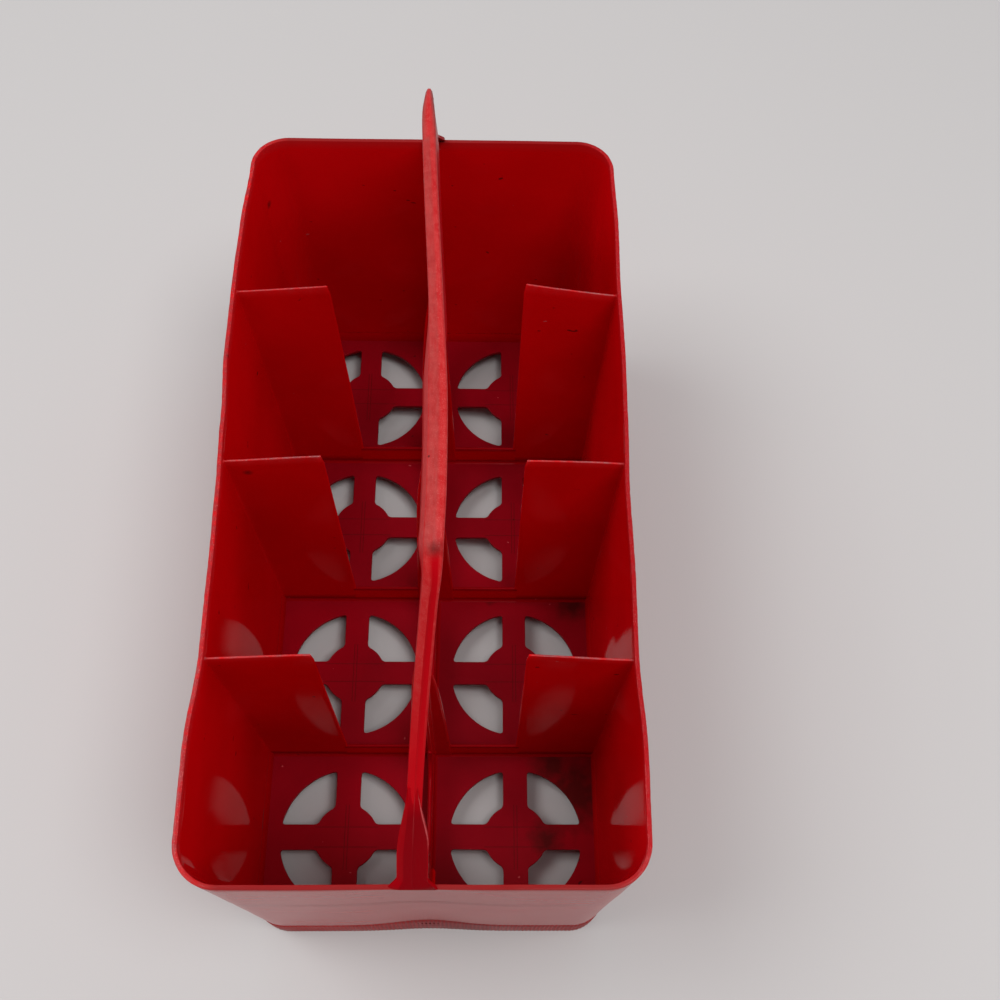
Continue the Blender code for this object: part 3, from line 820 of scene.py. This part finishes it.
def foot_edges(rise):
    """Left and right edges of the plate over a leg's foot, at a height above the rim."""
    neck, foot = FOOT_NECK / 2, FOOT_FLARE / 2
    curl = (1 - smooth_step(rise, 0, FOOT_CURL)) ** 1.6
    wide = neck + (foot - neck) * curl
    left_share = 1 - smooth_step(rise, *FOOT_LEFT_TAPER)
    left = -LEG_WIDTH / 2 - (wide - LEG_WIDTH / 2) * left_share
    right_share = 1 - smooth_step(rise, *FOOT_RIGHT_TAPER)
    right = 0.0001 + wide * min(1.0, 1.04 * right_share)
    return left, min(right, wide)


def back_foot_edges(rise):
    """The same at the back leg, whose foot only spreads a little into the rim."""
    left = LEG_WIDTH / 2 + BACK_FOOT_SPREAD * (1 - smooth_step(rise, 0, 0.007))
    right = LEG_WIDTH / 2 + BACK_FOOT_SPREAD * (1 - smooth_step(rise, 0.001, 0.010))
    return -left, right


def make_foot_plate(side, material):
    """The flared plate on the outer face of a leg's foot, which runs out into the rim."""
    word = "front" if side < 0 else "back"
    slope = Vector((math.sin(LEG_SLOPE), math.cos(LEG_SLOPE)))
    rings, wear, deep = [], [], []
    last = FOOT_PLATE_RISE if side < 0 else BACK_FOOT_RISE
    for rise in np.linspace(-0.0006, last, 44):
        left, right = foot_edges(max(rise, 0)) if side < 0 else back_foot_edges(rise)
        z = RIM + rise
        merged = smooth_step(rise, 0.7 * last, last)
        proud = FOOT_PROUD - FOOT_RUNS_OUT * merged
        bead = FOOT_BEAD * (1 - merged)
        flank = left + 0.22 * (right - left)
        section = [
            (left, FOOT_PLATE), (flank - 0.0003, -0.3 * proud), (flank + 0.0001, -proud),
            (-FOOT_RIDGE, -proud), (0, -proud - 0.5 * FOOT_RIDGE), (FOOT_RIDGE, -proud),
            (right - 2.5 * bead, -proud),
            (right - 1.5 * bead, -proud - 0.7 * bead), (right - 0.5 * bead, -proud - 0.7 * bead),
            (right, 0.0001), (right, FOOT_PLATE), (left, FOOT_PLATE + 0.0004)]
        ring = []
        for across, depth in section:
            y = leg_edge(z) - depth * slope.x
            height = z - depth * slope.y
            ring.append((across + float(lean(side * y, height)), side * min(y, HALF_LENGTH), height))
        rings.append(ring)
        # Painted highlight on the bead and the ridge above the lowest part, and painted shade over the
        # plate, deepest in its middle and fading where it runs out into the leg.
        bright = smooth_step(rise, 0.012, 0.020)
        wear.append([0, 0, 0, 0, 0.2 * bright, 0, 0, 0.9 * bright, 0.9 * bright, 0.3 * bright, 0, 0])
        deep.append(np.array([0.45, 0.6, 1, 1, 1, 1, 1, 0.7, 0.5, 0.4, 0, 0]) * (1 - merged))
    loft(word + "_foot_plate", rings, material, "handle_plastic", wear=wear, deep=deep)


# Colours of the plastic: as moulded, with a darker tone for its mottle, and where it is worn, greyed or
# dirty.
# Some of them paint light. The floor's crimson, darker and bluer than the walls' red, paints shade and
# sheen at the bottom of the cells, and the feet take the darker leg red as painted shade. The dark red
# paints shade in creases, on crowns and on dim faces, the grey colour paints reflections as well as scuffs,
# the pale and grip colours paint highlights as well as worn places, and the dark dirt colour also paints
# the shadow line in the band's groove.
RED = (0.635, 0.0006, 0.0035, 1)
DEEP_RED = (0.54, 0.0004, 0.0016, 1)
CRIMSON = (0.27, 0.0008, 0.007, 1)
DEEP_CRIMSON = (0.17, 0.0006, 0.005, 1)
DARK_RED = (0.17, 0.0004, 0.003, 1)
LEG_RED = (0.42, 0.0012, 0.005, 1)
DEEP_LEG_RED = (0.34, 0.0008, 0.004, 1)
PALE_WEAR = (0.50, 0.075, 0.080, 1)
RIM_WEAR = (0.29, 0.011, 0.015, 1)
EDGE_WEAR = (0.24, 0.045, 0.050, 1)
GREY_WEAR = (0.34, 0.14, 0.12, 1)
GRIP_WEAR = (0.42, 0.019, 0.019, 1)
SPECK = (0.66, 0.22, 0.20, 1)
DIRT = (0.034, 0.005, 0.004, 1)


class Shading:
    """Short ways to add nodes to the tree of a new material or world."""

    def __init__(self, owner):
        owner.use_nodes = True
        self.tree = owner.node_tree
        self.coordinates = self.add("TexCoord", {}).outputs
        self.place = self.coordinates["Object"]

    def put(self, socket, value):
        """Links a node's output to a socket, or sets the socket to a plain value."""
        if isinstance(value, bpy.types.NodeSocket):
            self.tree.links.new(value, socket)
        else:
            socket.default_value = value

    def add(self, kind, values, **settings):
        """A node of a kind with its settings, and with values put in its inputs by name or number."""
        node = self.tree.nodes.new("ShaderNode" + kind)
        for name, setting in settings.items():
            setattr(node, name, setting)
        for key, value in values.items():
            self.put(node.inputs[key], value)
        return node

    def noise(self, scale, detail=4.0, stretch=None, warp=0.0):
        """Soft noise over the object, with as many finer layers, and with its scale stretched by axis."""
        place = self.place
        if stretch:
            place = self.add("Mapping", {"Vector": place, "Scale": stretch}).outputs["Vector"]
        values = {"Vector": place, "Scale": scale, "Detail": detail, "Distortion": warp}
        return self.add("TexNoise", values).outputs["Fac"]

    def spread(self, value, low, high, to_low=0.0, to_high=1.0):
        """A value's range from low to high, put on another range and held within it."""
        values = {"Value": value, "From Min": low, "From Max": high, "To Min": to_low, "To Max": to_high}
        return self.add("MapRange", values).outputs["Result"]

    def math(self, operation, *values):
        """The result of an operation on values, held between zero and one."""
        return self.add("Math", dict(enumerate(values)), operation=operation, use_clamp=True).outputs[0]

    def open_math(self, operation, *values):
        """As math, but without limits on the result."""
        return self.add("Math", dict(enumerate(values)), operation=operation).outputs[0]

    def away(self, value, middle):
        """How far a value is from a middle one."""
        return self.open_math("ABSOLUTE", self.open_math("SUBTRACT", value, middle))

    def cell_distance(self, axis):
        """Distance along X or Y from the middle of the cell that a place lies in."""
        split = self.add("SeparateXYZ", {"Vector": self.place})
        return self.away(self.open_math("WRAP", split.outputs[axis], CELL_PITCH, 0), CELL_PITCH / 2)

    def mix(self, share, first, second):
        """The first colour with a share of the second."""
        values = {"Factor": share, "A": first, "B": second}
        return self.add("Mix", values, data_type="RGBA").outputs["Result"]

    def spot(self, centre, radius):
        """One at a place on the object, fading to zero at a ragged radius round it."""
        away = self.add("VectorMath", {0: self.place, 1: centre}, operation="DISTANCE").outputs["Value"]
        near = self.open_math("ADD", away, self.open_math("MULTIPLY", self.noise(260, 4), radius))
        return self.spread(near, 0.7 * radius, 1.5 * radius, 1, 0)

    def attribute(self, name):
        """A mark's value, which is zero on pieces that lack it."""
        return self.add("Attribute", {}, attribute_name=name).outputs["Fac"]


def score_mask(look):
    """One where the floor is scored: fine crossed pairs of lines over the hub of each cell."""
    aside, ahead = (look.cell_distance(axis) for axis in ("X", "Y"))
    masks = []
    for here, there, line in ((aside, ahead, SCORE_ALONG), (ahead, aside, SCORE_ACROSS)):
        on_line = look.math("LESS_THAN", look.away(here, line), SCORE_HALF_WIDTH)
        masks.append(look.math("MULTIPLY", on_line, look.math("LESS_THAN", there, HUB_RADIUS)))
    return look.math("MAXIMUM", *masks)


def red_plastic(name, colour, deep, roughness, index, worn_index, haze=0.0, grain=0.1,
                worn_colour=PALE_WEAR, streaks=(40, 0.5, 0.5, 5), dulling=1.0, scored=False, specks=0.0,
                spots=()):
    """Moulded red polyethylene: smooth gloss over deep colour, mottled, nicked and dusty all over.

    It is worn, greyed, darkened and dirty where the piece's marks say. The worn places also paint
    highlights, the greying also paints reflections, the darkening paints shade, and the dirt colour also
    paints the shadow line in the band's groove. An even greying paints a reflection over the whole piece.
    Streaks give the greying's scale and its stretch along each axis, and spots are dirty places on the
    object with their radii.
    """
    material = bpy.data.materials.new(name)
    look = Shading(material)
    # A darker tone mottles the plastic.
    body = look.mix(look.spread(look.noise(14), 0.35, 0.65), colour, deep)
    # Painted shade: the mark darkens creases, fillets, crowns, the front rim, dim faces and the feet's
    # plates.
    body = look.mix(look.math("MULTIPLY", look.attribute("deep"), 0.85), body, DARK_RED)
    # Greying that stands for scuffs and paints reflections, by the marks and evenly over a whole piece
    # where the finish asks.
    streaky = look.spread(look.noise(streaks[0], 6, streaks[1:], 0.3), 0.34, 0.72, 0.4, 1)
    dulled = look.math("MULTIPLY", look.attribute("hazy"), dulling)
    hazed = look.math("MULTIPLY", look.math("ADD", look.math("MULTIPLY", dulled, 0.45), haze), streaky)
    # Worn places, and painted highlights where the marks stand for them, as on the feet's beads and the
    # handle's edges.
    patchy = look.spread(look.noise(520, 3), 0.30, 0.62, 0.35, 1)
    rubbed = look.math("MULTIPLY", look.attribute("wear"), patchy)
    body = look.mix(rubbed, body, worn_colour)
    if specks:
        pale = look.math("MULTIPLY", look.spread(look.noise(3600, 2), 0.58, 0.68), specks)
        body = look.mix(look.math("MULTIPLY", pale, look.attribute("wear")), body, SPECK)
    body = look.mix(hazed, body, GREY_WEAR)
    nicks = look.spread(look.noise(260, 2, None, 0.3), 0.765, 0.775)
    body = look.mix(look.math("MULTIPLY", nicks, 0.7), body, PALE_WEAR)
    # Specks of dust and the dirty spots, and in the same dark colour the painted shadow line in the band's
    # groove.
    dirt = look.spread(look.noise(190, 2, (1, 1, 1.3), 0.3), 0.745, 0.765)
    dirt = look.math("MAXIMUM", dirt, look.attribute("grime"))
    for centre, radius in spots:
        dirt = look.math("MAXIMUM", dirt, look.spot(centre, radius))
    body = look.mix(look.math("MULTIPLY", dirt, 0.75), body, DIRT)
    fine = look.math("MULTIPLY", look.noise(700, 3), grain)
    bump = look.math("ADD", fine, look.math("MULTIPLY", look.noise(24, 2), 0.5))
    if scored:
        scores = score_mask(look)
        body = look.mix(look.math("MULTIPLY", scores, 0.5), body, DIRT)
        bump = look.math("SUBTRACT", bump, look.math("MULTIPLY", scores, 0.4))
    shader = look.tree.nodes["Principled BSDF"].inputs
    look.put(shader["Base Color"], body)
    gloss = look.spread(look.noise(45, 5), 0.3, 0.7, roughness * 0.85, roughness * 1.2)
    dull = look.math("MULTIPLY", look.math("MAXIMUM", rubbed, dulled), 0.25)
    look.put(shader["Roughness"], look.math("ADD", gloss, dull))
    marked = look.math("MAXIMUM", rubbed, look.math("MULTIPLY", dulled, 0.5))
    look.put(shader["IOR"], look.spread(marked, 0, 1, index, worn_index))
    relief = look.add("Bump", {"Strength": 0.35, "Distance": 0.0002, "Height": bump})
    look.put(shader["Normal"], relief.outputs["Normal"])
    return material


# Dirty places, each with its middle on the object and its radius
GRIP_SMUDGE = ((0.0083, -0.0730, 0.2445), 0.0034)
WALL_SCARS = (((-0.0687, 0.1308, 0.1236), 0.0024),)
DIVIDER_SCARS = (((-0.0621, -0.0006, 0.1402), 0.0022), ((0.0335, -0.0006, 0.0374), 0.0022))
FLOOR_DIRT = (((0.0610, -0.0860, 0.0120), 0.0200), ((0.0510, -0.0755, 0.0120), 0.0110),
              ((0.0480, -0.1054, 0.0120), 0.0090), ((0.0616, -0.0035, 0.0120), 0.0090),
              ((0.0244, -0.0012, 0.0125), 0.0030))


def make_object():
    """Every piece of the carrier, each in the finish of its part."""
    wall = red_plastic(
        "wall_red", RED, DEEP_RED, roughness=0.045, index=1.052, worn_index=1.22, worn_colour=RIM_WEAR,
        dulling=0.62, specks=0.5, spots=WALL_SCARS)
    inner = red_plastic(
        "inner_red", RED, DEEP_RED, roughness=0.08, index=1.046, worn_index=1.32, worn_colour=EDGE_WEAR,
        specks=0.7, spots=DIVIDER_SCARS)
    # The floor's crimson, darker and bluer than the walls' red, paints the shade at the bottom of the cells
    # and a sheen, and its slight even greying paints a sheen too.
    floor = red_plastic(
        "floor_crimson", CRIMSON, DEEP_CRIMSON, roughness=0.26, index=1.075, worn_index=1.3, haze=0.01,
        grain=0.2, scored=True, spots=FLOOR_DIRT)
    ribs = red_plastic("rib_red", RED, DEEP_RED, roughness=0.20, index=1.10, worn_index=1.3)
    # The band is a darker red than the walls, and its even greying paints a reflection of the pale ground.
    band = red_plastic("band_red", DEEP_RED, CRIMSON, roughness=0.40, index=1.16, worn_index=1.3, haze=0.15)
    handle = red_plastic(
        "handle_red", LEG_RED, DEEP_LEG_RED, roughness=0.30, index=1.11, worn_index=1.26, grain=0.4,
        worn_colour=GRIP_WEAR, streaks=(300, 4, 0.6, 4), specks=0.27, spots=(GRIP_SMUDGE,))
    # The feet's darker red paints shade.
    foot = red_plastic("foot_red", DEEP_LEG_RED, DEEP_LEG_RED, roughness=0.14, index=1.08, worn_index=1.4)
    make_shell(wall)
    make_band(band)
    make_floor(floor)
    for number in (1, 2, 3):
        make_post(number, ribs)
        for side in (-1, 1):
            make_divider(side, number, inner)
            make_cross_rib(side, number, ribs)
    for number in (1, 2, 3, 4):
        make_centre_rib(number, ribs)
    for side in (-1, 1):
        make_gusset(side, ribs)
        make_foot_plate(side, foot)
    make_handle(handle)


def make_ground():
    """The plain pale floor that the carrier stands on."""
    mesh = bpy.data.meshes.new("ground")
    far = 3.0
    mesh.from_pydata([(-far, -far, 0), (far, -far, 0), (far, far, 0), (-far, far, 0)], [], [(0, 1, 2, 3)])
    material = bpy.data.materials.new("ground_pale")
    material.use_nodes = True
    shader = material.node_tree.nodes["Principled BSDF"]
    shader.inputs["Base Color"].default_value = (0.47, 0.455, 0.45, 1)
    shader.inputs["Roughness"].default_value = 0.9
    mesh.materials.append(material)
    ground = add_object("ground", mesh)


def area_lamp(name, place, aim, size, power):
    """A round soft lamp at a place, turned to an aim."""
    light = bpy.data.lights.new(name, "AREA")
    light.shape = "DISK"
    light.size = size
    light.energy = power
    lamp = add_object(name, light)
    lamp.location = place
    lamp.rotation_euler = (Vector(aim) - Vector(place)).to_track_quat("-Z", "Y").to_euler()


def make_light():
    """A pale room, a little dimmer on the photographer's side, with two broad lamps high over the box."""
    world = bpy.data.worlds.new("soft_room")
    look = Shading(world)
    background = look.tree.nodes["Background"].inputs
    look.put(background["Color"], (0.98, 0.98, 1.0, 1))
    ahead = look.add("SeparateXYZ", {"Vector": look.coordinates["Generated"]}).outputs["Y"]
    look.put(background["Strength"], look.spread(ahead, -0.8, 0.2, 0.35, 0.62))
    bpy.context.scene.world = world
    area_lamp("key_lamp", (0.5, -0.35, 1.8), (0, 0, 0.05), 0.8, 18)
    area_lamp("fill_lamp", (-0.8, 0.05, 1.6), (0, 0, 0.05), 0.9, 14)


def make_camera():
    """The photograph's camera, solved from the box's proportions."""
    place = Vector((0.017334, -0.177058, 0.493971))
    pitch, yaw, roll = (math.radians(angle) for angle in (64.8169, 2.9687, 3.0668))
    ahead = Vector((math.sin(yaw) * math.cos(pitch), math.cos(yaw) * math.cos(pitch), -math.sin(pitch)))
    level_right = ahead.cross(Vector((0, 0, 1))).normalized()
    level_up = level_right.cross(ahead)
    right = level_right * math.cos(roll) + level_up * math.sin(roll)
    up = level_up * math.cos(roll) - level_right * math.sin(roll)
    camera = add_object("camera", bpy.data.cameras.new("camera"))
    camera.data.lens = 40.576
    camera.data.sensor_width = 36
    camera.data.clip_start = 0.01
    camera.matrix_world = Matrix((
        (right.x, up.x, -ahead.x, place.x),
        (right.y, up.y, -ahead.y, place.y),
        (right.z, up.z, -ahead.z, place.z),
        (0, 0, 0, 1)))
    bpy.context.scene.camera = camera


bpy.context.scene.view_settings.view_transform = "Standard"
make_camera()
make_object()
make_ground()
make_light()
